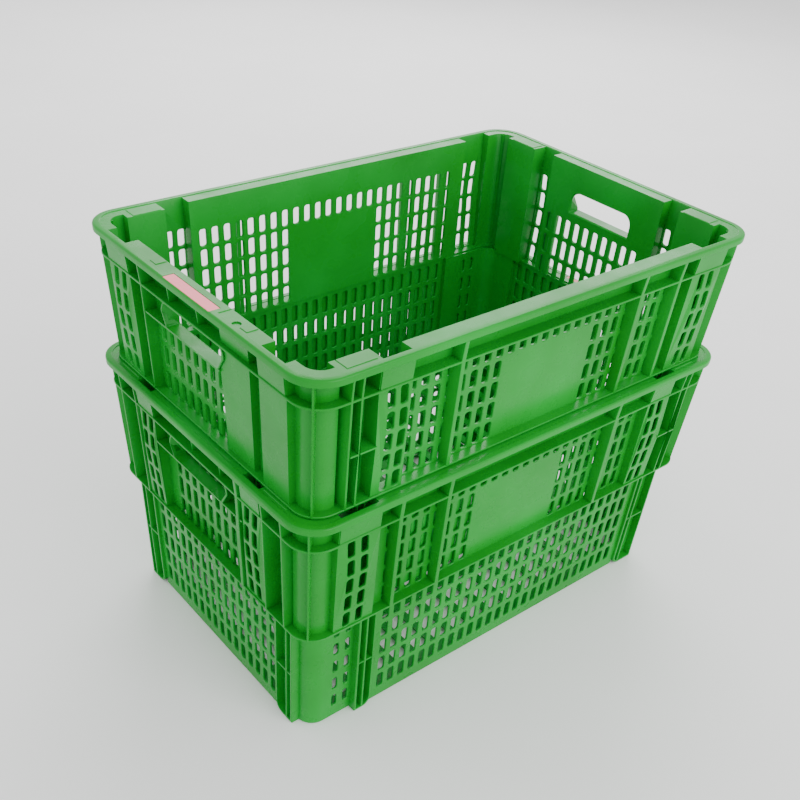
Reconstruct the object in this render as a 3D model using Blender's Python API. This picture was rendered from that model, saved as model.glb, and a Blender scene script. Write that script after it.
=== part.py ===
"""Two nested stacking crates of green plastic, each with a label plate let into its rim.

Both crates are the same moulding. The lower one is turned half a turn about the vertical axis, and
the upper one hangs in it by the ledge round its middle. Each moulding is split into its natural
sections, with a fine gap between them: the walls and corners of the upper band, which ends in the
ledge, then the legs, the mesh walls and the floor of the lower band.

The origin is on the ground in the middle of the footprint. X runs along the long side, Z is up.
Shapes are drawn in millimetres with upright walls, then the draft leans them inwards.
"""

import math

import bmesh
import bpy
from mathutils import Matrix

MM = 0.001

# Driving dimensions of one crate.
LENGTH = 600.0
WIDTH = 400.0
HEIGHT = 300.0
NEST_PITCH = 153.0
DRAFT = math.tan(math.radians(2.2))
SHEET = 3.0
RIB = 2.5
GAP = 0.3

# Levels above the feet.
RIM_THICK = 4.0
RIM_FACE = 8.0
PLATE = 2.5
BAND_Z = HEIGHT - 31.0
LEDGE_Z = HEIGHT - NEST_PITCH + GAP
LOWER_TOP = LEDGE_Z - GAP
FLOOR_Z = 4.0

# Depths inwards from the rim's outer edge, before the draft.
RIB_EDGE = 3.0
RIM_SKIRT = 3.5
KEY = 4.0
WINDOW = 5.0
CORNER_POST = 15.0
MESH = 17.7
PANEL = 19.0
LEG = 23.7
BLOCK = 25.0
LIP = 0.5
FLOOR_EDGE = LEG + SHEET + GAP

RIM_RADIUS = 35.0
LEG_RADIUS = 20.0
ARC_STEPS = 5

# Where the long walls step in and out, along X. They end at the corners, a step away from the posts.
CORNER_U = 262.0
CORNER_STEP = 4.0
BLOCK_END = -222.0
LEFT_WINDOW_END = -184.0
RIGHT_WINDOW_START = 208.0

# Where the end walls step, along Y.
CORNER_V = 162.0
SEAT_V = 118.0
PLAIN_HANDLE_V = 84.0
LABEL_HANDLE_V = 55.0
LABEL_WINDOW_START = 103.0
LABEL_FLAT_END = -116.0
PILLARS = ((-102.0, -LABEL_HANDLE_V), (LABEL_HANDLE_V, 76.0))
PILLAR = 8.0

# Slots. The rows of each column are joined into one tall slot.
SLOT_PITCH = 15.5
SLOT_WIDTH = 8.5
SLOT_HEIGHT = 19.5
FIRST_SLOT_U = -172.5
PANEL_COLUMNS = 24
RIBBED_COLUMNS = (3, 19, 23)
BLANK_COLUMNS = range(8, 16)
WINDOW_SLOTS = (-207.0, -192.0, 227.0, 243.0)
LABEL_WINDOW_SLOTS = (118.0, 134.0)
PLAIN_WINDOW_SLOTS = (-107.0, -94.0, 94.0, 107.0)
SLOT_TOP = HEIGHT - 35.0
SLOT_BOTTOM = LEDGE_Z + 4.0
HANDLE_SLOT_TOP = HEIGHT - 65.0

# Lower band: keys are the ribs that stand out from the legs, given as the inner edge, the middle rib
# and the outer edge along the long side and along the end. The inner edges clear the window sides of
# the crate below all the way up, although the draft makes the foot narrower than the rim.
RIGHT_KEYS = ((196.0, 208.0, 219.0), (127.5, 148.0, 158.5))
LEFT_KEYS = ((222.0, 232.0, 258.0), (93.5, 104.0, 117.5))
FOOT_RADIUS = 12.0
LEG_SLOTS = (-232.0 + LENGTH / 2, -247.0 + LENGTH / 2)

HAND_HOLE = (94.0, 26.0)
HAND_HOLE_Z = HEIGHT - 47.0
HAND_HOLE_RADIUS = 12.0
GRIP_MARGIN = 2.5
GRIP_OUT = 13.0

FLOOR_SLOT_PITCH = 31.0
FLOOR_SLOT_WIDTH = 21.0
FLOOR_ROWS = 4
FLOOR_BAR = 10.0

LABEL_SIZE = (12.0, 81.0)
LABEL_CENTRE = (8.0, -5.5)
LABEL_THICK = 1.2
POCKET_DEPTH = LABEL_THICK + 2 * GAP
PEG_HOLE = (11.0, -77.0)
PEG_HOLE_RADIUS = 4.5
CUT = 2.0

# Exchanges X and Y, which turns something drawn on the long side into the same on an end.
SWAP = Matrix(((0, 1, 0, 0), (1, 0, 0, 0), (0, 0, 1, 0), (0, 0, 0, 1)))

GREEN = (0.004, 0.29, 0.035, 1.0)
PINK = (0.85, 0.32, 0.42, 1.0)


def clear_scene():
    for old in list(bpy.data.objects):
        bpy.data.objects.remove(old)


def collection(name):
    made = bpy.data.collections.new(name)
    bpy.context.scene.collection.children.link(made)
    return made


def material(name, colour, roughness):
    made = bpy.data.materials.new(name)
    made.use_nodes = True
    shader = made.node_tree.nodes["Principled BSDF"]
    shader.inputs["Base Color"].default_value = colour
    shader.inputs["Roughness"].default_value = roughness
    shader.inputs["Metallic"].default_value = 0.0
    made.diffuse_color = colour
    return made


def prism(outline, low, high):
    """An upright prism on a closed plan outline."""
    shape = bmesh.new()
    base = shape.faces.new([shape.verts.new((x, y, low)) for x, y in outline])
    grown = bmesh.ops.extrude_face_region(shape, geom=[base])["geom"]
    top = [item for item in grown if isinstance(item, bmesh.types.BMVert)]
    bmesh.ops.translate(shape, verts=top, vec=(0, 0, high - low))
    bmesh.ops.recalc_face_normals(shape, faces=shape.faces)
    return shape


def box(u, v, z):
    """A box from three (low, high) pairs."""
    return prism([(u[0], v[0]), (u[1], v[0]), (u[1], v[1]), (u[0], v[1])], *z)


def turned(shape, matrix):
    """The shape moved by a matrix, with its faces kept outwards."""
    bmesh.ops.transform(shape, matrix=matrix, verts=shape.verts)
    bmesh.ops.recalc_face_normals(shape, faces=shape.faces)
    return shape


def offset(path, distance):
    """A plan path moved to its left by a distance, with mitred corners."""
    steps = [(b[0] - a[0], b[1] - a[1]) for a, b in zip(path, path[1:])]
    normals = [(-dy / math.hypot(dx, dy), dx / math.hypot(dx, dy)) for dx, dy in steps]
    moved = []
    for index, (x, y) in enumerate(path):
        before = normals[max(index - 1, 0)]
        after = normals[min(index, len(normals) - 1)]
        share = distance / (1 + before[0] * after[0] + before[1] * after[1])
        moved.append((x + (before[0] + after[0]) * share, y + (before[1] + after[1]) * share))
    return moved


def sheet(path, low, high):
    """A wall of even thickness whose outer face follows the path."""
    return prism(path + offset(path, SHEET)[::-1], low, high)


def plate(outer, inner, low, high):
    """A flat plate between an outer and an inner plan path."""
    return prism(outer + inner[::-1], low, high)


def helper(name, shape):
    mesh = bpy.data.meshes.new(name)
    shape.to_mesh(mesh)
    shape.free()
    made = bpy.data.objects.new(name, mesh)
    cutters.objects.link(made)
    made.hide_render = True
    made.display_type = "WIRE"
    return made


def boolean(target, operation, other):
    modifier = target.modifiers.new(operation.title(), "BOOLEAN")
    modifier.operation = operation
    modifier.solver = "EXACT"
    modifier.object = other


def merged(shapes):
    """Separate shapes as one mesh."""
    whole = bmesh.new()
    for shape in shapes:
        part = bpy.data.meshes.new("part")
        shape.to_mesh(part)
        shape.free()
        whole.from_mesh(part)
        bpy.data.meshes.remove(part)
    return whole


def section(name, solids, cuts=()):
    """The mesh of the solids joined, with the cuts taken out."""
    body = helper(name, solids[0])
    for solid in solids[1:]:
        boolean(body, "UNION", helper(name + "_joined", solid))
    if cuts:
        boolean(body, "DIFFERENCE", helper(name + "_cut", merged(cuts)))
    graph = bpy.context.evaluated_depsgraph_get()
    made = bpy.data.meshes.new_from_object(body.evaluated_get(graph))
    made.name = name
    body.modifiers.clear()
    return made


def placed(mesh, matrix):
    """A copy of a section moved to its side of the crate, with the draft applied, in metres."""
    shape = bmesh.new()
    shape.from_mesh(mesh)
    turned(shape, matrix)
    for vertex in shape.verts:
        inset = DRAFT * (HEIGHT - vertex.co.z)
        vertex.co.x *= 1 - 2 * inset / LENGTH
        vertex.co.y *= 1 - 2 * inset / WIDTH
    bmesh.ops.scale(shape, vec=(MM, MM, MM), verts=shape.verts)
    made = bpy.data.meshes.new(mesh.name)
    shape.to_mesh(made)
    shape.free()
    return made


def side_matrices():
    """Each wall is drawn with X along it and Y inwards from the rim's edge."""
    front = Matrix.Translation((0, -WIDTH / 2, 0))
    back = Matrix.Diagonal((1, -1, 1, 1)) @ front
    label = Matrix.Translation((-LENGTH / 2, 0, 0)) @ SWAP
    plain = Matrix.Diagonal((-1, 1, 1, 1)) @ label
    return {"front": front, "back": back, "label": label, "plain": plain}


def corner_matrix(toward_x, toward_y):
    """Corners and legs are drawn with X and Y as the depths from their two sides."""
    flip = Matrix.Diagonal((-toward_x, -toward_y, 1, 1))
    return Matrix.Translation((toward_x * LENGTH / 2, toward_y * WIDTH / 2, 0)) @ flip


def stepped(first, last, steps):
    """An outer face path from the first corner post to the last, which changes depth at each step."""
    path = [(first, CORNER_POST)]
    for at, depth in steps:
        path += [(at, path[-1][1]), (at, depth)]
    return path + [(last, CORNER_POST)]


def slot_cut(centre, depth, low, high, width=SLOT_WIDTH):
    return box((centre - width / 2, centre + width / 2), (depth - CUT, depth + SHEET + CUT), (low, high))


def upright_rib(centre, depth, low=LEDGE_Z + PLATE / 2, high=HEIGHT - RIM_THICK / 2):
    """A thin rib from the rib edge to the middle of a sheet at this depth."""
    return box((centre - RIB / 2, centre + RIB / 2), (RIB_EDGE, depth + SHEET / 2), (low, high))


def upper_band(path, ledge_depth):
    """Wall sheet, rim with its outer face, band rib and ledge that follow one wall path."""
    first = path[0][0]
    last = path[-1][0]
    inner = offset(path, SHEET + LIP)
    inner[0] = (first, inner[0][1])
    inner[-1] = (last, inner[-1][1])
    middle = offset(path, SHEET / 2)
    middle[0] = (first, middle[0][1])
    middle[-1] = (last, middle[-1][1])
    return [
        sheet(path, LEDGE_Z + PLATE / 2, HEIGHT - RIM_THICK / 2),
        plate([(first, 0), (last, 0)], inner, HEIGHT - RIM_THICK, HEIGHT),
        box((first, last), (0, RIM_SKIRT), (HEIGHT - RIM_FACE, HEIGHT - RIM_THICK / 2)),
        plate([(first, RIB_EDGE), (last, RIB_EDGE)], middle, BAND_Z - PLATE, BAND_Z),
        plate([(first, RIB_EDGE), (last, RIB_EDGE)], ledge_depth, LEDGE_Z, LEDGE_Z + PLATE),
    ]


def panel_columns():
    """Slot centres of the long wall's middle panel, and those that lie over the blank part."""
    centres = [FIRST_SLOT_U + SLOT_PITCH * column for column in range(PANEL_COLUMNS)]
    open_ones = [
        centre
        for column, centre in enumerate(centres)
        if column not in RIBBED_COLUMNS and column not in BLANK_COLUMNS
    ]
    short_ones = [centres[column] for column in BLANK_COLUMNS]
    ribbed = [centres[column] for column in RIBBED_COLUMNS]
    return open_ones, short_ones, ribbed


def long_wall():
    first = -CORNER_U + GAP / 2
    last = CORNER_U - GAP / 2
    window_end = CORNER_U - CORNER_STEP
    steps = (
        (-window_end, BLOCK),
        (BLOCK_END, WINDOW),
        (LEFT_WINDOW_END, PANEL),
        (RIGHT_WINDOW_START, WINDOW),
        (window_end, CORNER_POST),
    )
    path = stepped(first, last, steps)
    shelf = PANEL + SHEET + LIP
    block_shelf = BLOCK + SHEET + LIP
    ledge = [(first, block_shelf), (BLOCK_END + SHEET, block_shelf), (BLOCK_END + SHEET, shelf), (last, shelf)]
    solids = upper_band(path, ledge)
    open_ones, short_ones, ribbed = panel_columns()
    solids += [upright_rib(centre, PANEL) for centre in ribbed]
    solids += [upright_rib(centre, BLOCK) for centre in (-252.0, -241.0)]
    tabs = ((BLOCK_END + 1, LEFT_WINDOW_END - 1), (RIGHT_WINDOW_START + 1, window_end - 1))
    for tab in tabs:
        solids.append(box(tab, (RIB_EDGE + 1, WINDOW + SHEET / 2), (BAND_Z - PLATE / 2, HEIGHT - RIM_THICK / 2)))
    cuts = [slot_cut(centre, PANEL, SLOT_BOTTOM, SLOT_TOP) for centre in open_ones]
    cuts += [slot_cut(centre, PANEL, SLOT_TOP - SLOT_HEIGHT, SLOT_TOP) for centre in short_ones]
    cuts += [slot_cut(centre, WINDOW, SLOT_BOTTOM, SLOT_TOP) for centre in WINDOW_SLOTS]
    return section("long_wall", solids, cuts)


def rounded_rectangle(width, height, radius):
    points = []
    for quarter, (x, y) in enumerate(((1, 1), (-1, 1), (-1, -1), (1, -1))):
        for step in range(ARC_STEPS):
            angle = math.radians(90 * (quarter + step / (ARC_STEPS - 1)))
            points.append(
                (
                    x * (width / 2 - radius) + radius * math.cos(angle),
                    y * (height / 2 - radius) + radius * math.sin(angle),
                )
            )
    return points


def upright_block(outline, depth, centre_z):
    """A prism that runs inwards through a wall, from an outline along the wall."""
    stand = Matrix(((1, 0, 0, 0), (0, 0, 1, 0), (0, 1, 0, centre_z), (0, 0, 0, 1)))
    return turned(prism(outline, *depth), stand)


def grip():
    """The raised surround of the hand hole, and the hole itself."""
    width, height = HAND_HOLE
    around = 2 * GRIP_MARGIN
    surround = rounded_rectangle(width + around, height + around, HAND_HOLE_RADIUS + GRIP_MARGIN)
    hole = rounded_rectangle(width, height, HAND_HOLE_RADIUS)
    return (
        upright_block(surround, (PANEL - GRIP_OUT, PANEL + SHEET / 2), HAND_HOLE_Z),
        upright_block(hole, (PANEL - GRIP_OUT - CUT, PANEL + SHEET + CUT), HAND_HOLE_Z),
    )


def handle_slots(columns):
    span = SLOT_PITCH * (columns - 1)
    centres = [SLOT_PITCH * column - span / 2 for column in range(columns)]
    return [slot_cut(centre, PANEL, SLOT_BOTTOM, HANDLE_SLOT_TOP) for centre in centres]


def label_pocket():
    depth, along = LABEL_SIZE
    return box(
        (LABEL_CENTRE[1] - along / 2 - GAP, LABEL_CENTRE[1] + along / 2 + GAP),
        (LABEL_CENTRE[0] - depth / 2 - GAP, LABEL_CENTRE[0] + depth / 2 + GAP),
        (HEIGHT - POCKET_DEPTH, HEIGHT + CUT),
    )


def peg_hole():
    outline = [
        (
            PEG_HOLE[1] + PEG_HOLE_RADIUS * math.cos(math.tau * step / 12),
            PEG_HOLE[0] + PEG_HOLE_RADIUS * math.sin(math.tau * step / 12),
        )
        for step in range(12)
    ]
    return prism(outline, HEIGHT - RIM_THICK - CUT, HEIGHT + CUT)


def label_end():
    first = -CORNER_V + GAP / 2
    last = CORNER_V - GAP / 2
    window_end = CORNER_V - CORNER_STEP
    steps = (
        (-window_end, WINDOW),
        (LABEL_FLAT_END, PANEL),
        (LABEL_WINDOW_START, WINDOW),
        (window_end, CORNER_POST),
    )
    path = stepped(first, last, steps)
    shelf = PANEL + SHEET + LIP
    solids = upper_band(path, [(first, shelf), (last, shelf)])
    cuts = [slot_cut(centre, WINDOW, SLOT_BOTTOM, SLOT_TOP) for centre in LABEL_WINDOW_SLOTS]
    for low, high in PILLARS:
        solids.append(box((low, high), (PILLAR, PANEL + SHEET / 2), (LEDGE_Z + PLATE / 2, HEIGHT - RIM_THICK / 2)))
        cuts.append(box((low + RIB, high - RIB), (PILLAR + RIB, PANEL), (LEDGE_Z - CUT, HEIGHT - RIM_THICK)))
    surround, hole = grip()
    solids.append(surround)
    cuts += [hole, label_pocket(), peg_hole()]
    cuts += handle_slots(7)
    return section("label_end", solids, cuts)


def plain_end():
    first = -CORNER_V + GAP / 2
    last = CORNER_V - GAP / 2
    block_end = CORNER_V - CORNER_STEP
    steps = (
        (-block_end, BLOCK),
        (-SEAT_V, WINDOW),
        (-PLAIN_HANDLE_V, PANEL),
        (PLAIN_HANDLE_V, WINDOW),
        (SEAT_V, BLOCK),
        (block_end, CORNER_POST),
    )
    path = stepped(first, last, steps)
    shelf = PANEL + SHEET + LIP
    block_shelf = BLOCK + SHEET + LIP
    seat = SEAT_V - SHEET
    ledge = [(first, block_shelf), (-seat, block_shelf), (-seat, shelf)]
    ledge += [(seat, shelf), (seat, block_shelf), (last, block_shelf)]
    solids = upper_band(path, ledge)
    solids += [upright_rib(centre, BLOCK) for centre in (-154.0, -122.0, 122.0, 154.0)]
    surround, hole = grip()
    solids.append(surround)
    cuts = [slot_cut(centre, WINDOW, SLOT_BOTTOM, SLOT_TOP) for centre in PLAIN_WINDOW_SLOTS]
    cuts += [hole] + handle_slots(9)
    return section("plain_end", solids, cuts)


def corner_path(depth, radius, end_u, end_v):
    """From one end along the long side, round the corner, to the other end along the short side."""
    centre = depth + radius
    arc = [
        (
            centre - radius * math.sin(math.radians(90 * step / ARC_STEPS)),
            centre - radius * math.cos(math.radians(90 * step / ARC_STEPS)),
        )
        for step in range(ARC_STEPS + 1)
    ]
    return [(end_u, depth)] + arc + [(depth, end_v)]


def right_of(path, distance):
    """A corner path runs with the crate's inside on its right."""
    return offset(path, -distance)


def corner_ring(depth, inner_depth, low, high):
    """A plate round the corner between two depths, with radii that keep the rim's centre."""
    end_u = LENGTH / 2 - CORNER_U - GAP / 2
    end_v = WIDTH / 2 - CORNER_V - GAP / 2
    outer = corner_path(depth, RIM_RADIUS - depth, end_u, end_v)
    inner = corner_path(inner_depth, RIM_RADIUS - inner_depth, end_u, end_v)
    return prism(outer + inner[::-1], low, high)


def upper_corner():
    inside = CORNER_POST + SHEET
    solids = [
        corner_ring(CORNER_POST, inside, LEDGE_Z + PLATE / 2, HEIGHT - RIM_THICK / 2),
        corner_ring(0.0, inside + LIP, HEIGHT - RIM_THICK, HEIGHT),
        corner_ring(0.0, RIM_SKIRT, HEIGHT - RIM_FACE, HEIGHT - RIM_THICK / 2),
        corner_ring(RIB_EDGE, CORNER_POST + SHEET / 2, BAND_Z - PLATE, BAND_Z),
        corner_ring(RIB_EDGE, RIM_RADIUS - 10.0, LEDGE_Z, LEDGE_Z + PLATE),
    ]
    reach = (RIM_RADIUS - CORNER_POST - SHEET / 2, RIM_RADIUS - RIB_EDGE)
    rib = box(reach, (-RIB / 2, RIB / 2), (LEDGE_Z + PLATE / 2, HEIGHT - RIM_THICK / 2))
    diagonal = Matrix.Translation((RIM_RADIUS, RIM_RADIUS, 0)) @ Matrix.Rotation(math.radians(225), 4, "Z")
    solids.append(turned(rib, diagonal))
    return section("upper_corner", solids)


def key(edges, on_long_side):
    """Three ribs that stand out from a leg, closed by a foot that is rounded towards the mesh wall."""
    low, middle, high = edges
    arc = [
        (
            high - FOOT_RADIUS + FOOT_RADIUS * math.sin(math.radians(90 * step / ARC_STEPS)),
            FOOT_RADIUS - FOOT_RADIUS * math.cos(math.radians(90 * step / ARC_STEPS)),
        )
        for step in range(ARC_STEPS + 1)
    ]
    profile = [(low, LOWER_TOP), (low, 0.0)] + arc + [(high, LOWER_TOP)]
    depth = (KEY, LEG + SHEET / 2)
    half_way = LOWER_TOP / 2
    shapes = [
        upright_block(profile + offset(profile, RIB)[::-1], depth, 0.0),
        box((middle - RIB / 2, middle + RIB / 2), depth, (RIB / 2, LOWER_TOP)),
        box((low + RIB / 2, high - RIB / 2), (KEY + GAP, depth[1]), (half_way, half_way + PLATE)),
    ]
    if on_long_side:
        return shapes
    return [turned(shape, SWAP) for shape in shapes]


def leg(keys, name, slots):
    """A corner leg with one key on each of its two sides."""
    u = sorted(LENGTH / 2 - edge for edge in keys[0])
    v = sorted(WIDTH / 2 - edge for edge in keys[1])
    outer = corner_path(LEG, LEG_RADIUS, u[-1], v[-1])
    inner = right_of(outer, SHEET)
    solids = [prism(outer + inner[::-1], 0.0, LOWER_TOP)]
    solids += key(u, True) + key(v, False)
    cuts = [slot_cut(centre, LEG, 25.0, LOWER_TOP - 20.0) for centre in slots]
    return section(name, solids, cuts)


def mesh_wall(name, first, last, centres):
    """A slotted wall of the lower band, with a flange at its foot that carries the floor."""
    low = first + GAP
    high = last - GAP
    solids = [
        box((low, high), (MESH, MESH + SHEET), (FLOOR_Z + SHEET / 2, LOWER_TOP)),
        box((low, high), (MESH, LEG + SHEET), (FLOOR_Z, FLOOR_Z + SHEET)),
    ]
    cuts = [slot_cut(centre, MESH, FLOOR_Z + 9.0, LOWER_TOP - 9.0) for centre in centres]
    return section(name, solids, cuts)


def evenly(first, last):
    """Slot centres at the slot pitch that fill a wall from one end to the other."""
    count = int((last - first - SLOT_PITCH) / SLOT_PITCH) + 1
    start = (first + last - SLOT_PITCH * (count - 1)) / 2
    return [start + SLOT_PITCH * column for column in range(count)]


def floor():
    """The grid between the legs, drawn about the middle of the crate."""
    half_x = LENGTH / 2 - FLOOR_EDGE
    half_y = WIDTH / 2 - FLOOR_EDGE
    outline = rounded_rectangle(2 * half_x, 2 * half_y, LEG_RADIUS)
    columns = int((2 * half_x - 2 * FLOOR_BAR) / FLOOR_SLOT_PITCH)
    row_pitch = (2 * half_y - 2 * FLOOR_BAR) / FLOOR_ROWS
    cuts = []
    for column in range(columns):
        x = FLOOR_SLOT_PITCH * (column - (columns - 1) / 2)
        for row in range(FLOOR_ROWS):
            y = row_pitch * (row - (FLOOR_ROWS - 1) / 2)
            cuts.append(
                box(
                    (x - FLOOR_SLOT_WIDTH / 2, x + FLOOR_SLOT_WIDTH / 2),
                    (y - (row_pitch - FLOOR_BAR) / 2, y + (row_pitch - FLOOR_BAR) / 2),
                    (FLOOR_Z - CUT, FLOOR_Z + SHEET + CUT),
                )
            )
    return section("floor", [prism(outline, FLOOR_Z, FLOOR_Z + SHEET)], cuts)


def label_plate():
    depth, along = LABEL_SIZE
    low = HEIGHT - POCKET_DEPTH + GAP
    plate_box = box(
        (LABEL_CENTRE[1] - along / 2, LABEL_CENTRE[1] + along / 2),
        (LABEL_CENTRE[0] - depth / 2, LABEL_CENTRE[0] + depth / 2),
        (low, low + LABEL_THICK),
    )
    return section("label_plate", [plate_box])


def crate_sections():
    """Every section of one crate: its name, its mesh and its material."""
    sides = side_matrices()
    here = Matrix.Identity(4)
    wall = long_wall()
    corner = upper_corner()
    left_leg = leg(LEFT_KEYS, "left_leg", ())
    right_leg = leg(RIGHT_KEYS, "right_leg", LEG_SLOTS[::-1])
    long_span = (-LEFT_KEYS[0][0], RIGHT_KEYS[0][0])
    long_mesh = mesh_wall("long_mesh", *long_span, evenly(*long_span))
    label_reach = LEFT_KEYS[1][0]
    plain_reach = RIGHT_KEYS[1][0]
    label_mesh = mesh_wall("label_mesh", -label_reach, label_reach, evenly(-label_reach, label_reach))
    plain_mesh = mesh_wall("plain_mesh", -plain_reach, plain_reach, evenly(-plain_reach, plain_reach))
    found = {
        "front_wall": (wall, sides["front"]),
        "back_wall": (wall, sides["back"]),
        "label_end_wall": (label_end(), sides["label"]),
        "plain_end_wall": (plain_end(), sides["plain"]),
        "front_mesh": (long_mesh, sides["front"]),
        "back_mesh": (long_mesh, sides["back"]),
        "label_end_mesh": (label_mesh, sides["label"]),
        "plain_end_mesh": (plain_mesh, sides["plain"]),
        "floor": (floor(), here),
        "label_plate": (label_plate(), sides["label"]),
    }
    for end, toward_x, one_leg in (("label", -1, left_leg), ("plain", 1, right_leg)):
        for side, toward_y in (("front", -1), ("back", 1)):
            matrix = corner_matrix(toward_x, toward_y)
            found[f"{end}_{side}_corner"] = (corner, matrix)
            found[f"{end}_{side}_leg"] = (one_leg, matrix)
    return {name: placed(mesh, matrix) for name, (mesh, matrix) in found.items()}


def place_crate(prefix, meshes, height, turn):
    for name, mesh in meshes.items():
        made = bpy.data.objects.new(f"{prefix}_{name}", mesh)
        made.location.z = height * MM
        made.rotation_euler.z = turn
        crates.objects.link(made)
        if not mesh.materials:
            mesh.materials.append(label_pink if name == "label_plate" else crate_green)


clear_scene()
crates = collection("nested_crates")
cutters = collection("cutters")
crate_green = material("crate_green", GREEN, 0.38)
label_pink = material("label_pink", PINK, 0.5)
sections = crate_sections()
place_crate("lower", sections, 0.0, math.pi)
place_crate("upper", sections, NEST_PITCH, 0.0)
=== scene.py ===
import math

import bmesh
import bpy
from mathutils import Matrix, Vector


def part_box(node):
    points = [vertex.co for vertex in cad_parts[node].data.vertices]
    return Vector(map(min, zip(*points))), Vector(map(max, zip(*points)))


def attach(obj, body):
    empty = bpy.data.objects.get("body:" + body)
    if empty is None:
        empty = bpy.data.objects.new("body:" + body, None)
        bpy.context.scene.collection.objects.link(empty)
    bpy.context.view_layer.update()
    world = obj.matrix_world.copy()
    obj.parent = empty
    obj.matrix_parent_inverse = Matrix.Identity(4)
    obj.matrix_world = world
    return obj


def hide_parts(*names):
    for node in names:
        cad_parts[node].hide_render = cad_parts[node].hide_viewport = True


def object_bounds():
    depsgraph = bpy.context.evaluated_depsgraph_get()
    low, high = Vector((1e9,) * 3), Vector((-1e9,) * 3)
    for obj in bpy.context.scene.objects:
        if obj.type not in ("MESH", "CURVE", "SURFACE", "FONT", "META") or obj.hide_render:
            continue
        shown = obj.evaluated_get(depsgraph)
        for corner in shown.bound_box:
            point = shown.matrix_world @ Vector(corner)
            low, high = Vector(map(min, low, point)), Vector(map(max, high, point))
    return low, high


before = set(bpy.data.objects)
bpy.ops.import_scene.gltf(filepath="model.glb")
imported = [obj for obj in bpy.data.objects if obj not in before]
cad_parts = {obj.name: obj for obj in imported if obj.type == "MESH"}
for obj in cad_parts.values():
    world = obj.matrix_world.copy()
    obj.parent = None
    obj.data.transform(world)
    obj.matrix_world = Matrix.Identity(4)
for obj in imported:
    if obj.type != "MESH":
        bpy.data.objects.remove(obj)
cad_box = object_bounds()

# Two nested stacking crates of the same moulding. Shapes are drawn in millimetres with upright walls,
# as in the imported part; then the draft leans them inwards and they are scaled to metres. Each wall is
# drawn with U along it and V inwards from the rim's outer edge.

MM = 0.001


def millimetres(metres):
    return round(metres / MM, 2)


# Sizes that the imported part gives.
LENGTH = millimetres(cad_box[1].x - cad_box[0].x)
WIDTH = millimetres(cad_box[1].y - cad_box[0].y)
HEIGHT = millimetres(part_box("lower_front_wall")[1].z)
NEST_PITCH = millimetres(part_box("upper_front_wall")[1].z) - HEIGHT
LEDGE_Z = millimetres(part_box("lower_front_wall")[0].z)
FLOOR_Z = millimetres(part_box("lower_floor")[0].z)
SHEET = millimetres(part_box("lower_floor")[1].z) - FLOOR_Z

# Thicknesses and levels.
DRAFT = math.tan(math.radians(2.2))
RIB = 2.5
WIDE_RIB = 5.0
SMALL_RIB = 2.0
PLATE = 2.5
RIM_THICK = 4.0
RIM_FACE = 8.0
RIM_SKIRT = 2.5
BAND_Z = HEIGHT - 31.0
RIB_TOP_Z = HEIGHT - RIM_THICK / 2
SINK = 0.7

# Allowances: the softening of edges, how far a cut runs past its sheet, how far a shape reaches into
# the one that it joins, and the gap that keeps two faces from lying on each other.
SOFT = 0.6
CUT = 2.0
JOIN = 1.0
CLEAR = 0.1

# Depths inwards from the rim's outer edge.
RIB_EDGE = 3.0
LEVEL_EDGE = RIB_EDGE + 1.0
KEY = 14.0
WINDOW = 5.0
BEAD = 7.3
PILLAR = 8.0
CORNER_POST = 15.0
MESH = 17.7
PANEL = 19.0
LEG = 23.7
BLOCK = 25.0

# What the upper band's walls and its ledge add to the thickness of a sheet, inwards.
LIP = 0.5

# Corners in plan, and edges.
RIM_RADIUS = 35.0
LEG_RADIUS = 20.0
RIM_CHAMFER = 0.7
FOOT_CHAMFER = 0.8

# Rounded edges, as (down from the top, inwards): the rim's outer edge and the edge of its opening.
RIM_ROUND = ((2.4, 0.0), (1.2, 0.35), (0.35, 1.2), (0.0, 2.4))
OPENING_ROUND = ((1.2, 0.0), (0.4, -0.35), (-CUT, -1.6))

# Where the walls step, along the long side and along the ends.
CORNER_U = 258.0
BLOCK_END = -222.0
LEFT_WINDOW_END = -184.0
RIGHT_WINDOW_START = 208.0
CORNER_V = 158.0
SEAT_V = 118.0
PLAIN_HANDLE_V = 84.0
LABEL_HANDLE = (-50.0, 90.0)
LABEL_WINDOW_START = 115.0
LABEL_FLAT_END = -116.0
PILLAR_V = (-96.0, LABEL_HANDLE[0])
LABEL_RIB = 90.0
BLOCK_RIBS = (-252.0, -241.0)
SEAT_RIBS = (-154.0, -122.0, 122.0, 154.0)

LONG_SIDES = ("front", "back")
ENDS = ("label", "plain")
LONG_WINDOWS = ((BLOCK_END, LEFT_WINDOW_END), (RIGHT_WINDOW_START, CORNER_U))
WINDOWS = {
    "front": LONG_WINDOWS,
    "back": LONG_WINDOWS,
    "label": ((LABEL_WINDOW_START, CORNER_V), (-CORNER_V, LABEL_FLAT_END)),
    "plain": ((PLAIN_HANDLE_V, SEAT_V), (-SEAT_V, -PLAIN_HANDLE_V)),
}

# Slots of the upper band, in five rows.
SLOT = (8.5, 19.5)
SLOT_RADIUS = 2.6
SLOT_FLARE = 0.2
SLOT_PITCH = 15.5
ROW_PITCH = 23.7
ROWS = 5
TOP_ROW_Z = HEIGHT - 44.5
FIRST_SLOT_U = -172.5
PANEL_COLUMNS = 24
RIBBED_COLUMNS = (3, 19, 23)
BLANK_COLUMNS = range(8, 16)
WINDOW_SLOTS = (-207.0, -192.5, 226.0, 242.0)
LABEL_WINDOW_SLOTS = (128.0, 144.0)
PLAIN_WINDOW_SLOTS = (-107.5, -93.5, 93.5, 107.5)

# Slots under the hand holes, in three taller rows.
TALL_SLOT = (8.5, 23.5)
TALL_ROW_PITCH = 29.0
TALL_TOP_Z = HEIGHT - 83.0
TALL_ROWS = 3
LABEL_COLUMNS = range(-3, 6)
PLAIN_COLUMNS = range(-4, 6)
BLIND_COLUMN = 5

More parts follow.
